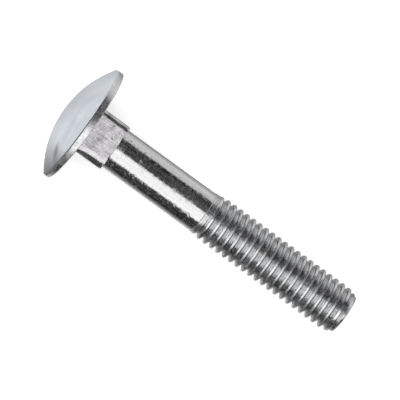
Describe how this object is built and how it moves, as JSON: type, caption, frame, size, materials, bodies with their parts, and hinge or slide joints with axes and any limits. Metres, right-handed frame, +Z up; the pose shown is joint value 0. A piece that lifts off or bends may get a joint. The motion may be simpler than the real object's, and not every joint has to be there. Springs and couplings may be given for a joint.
{
  "type": "carriage bolt",
  "caption": "Shallow domed round head on a square neck, with a plain shank and a coarse right-hand thread that ends in a rounded point.",
  "frame": {"origin": "on the floor under the middle of the resting bolt's bounding box", "axes": "+Z up from the floor; the bolt lies along X with its head at -X and its point at +X, its axis 7.2 degrees down towards the point; two flats of the square neck face +Y and -Y"},
  "size_m": [0.0552, 0.0202, 0.0201],
  "materials": {
    "zinc_plate": "bright zinc plating, smooth and lightly clouded, drawn lines on the neck"
  },
  "bodies": {
    "root": {"carriage_bolt": "zinc_plate"}
  },
  "joints": []
}
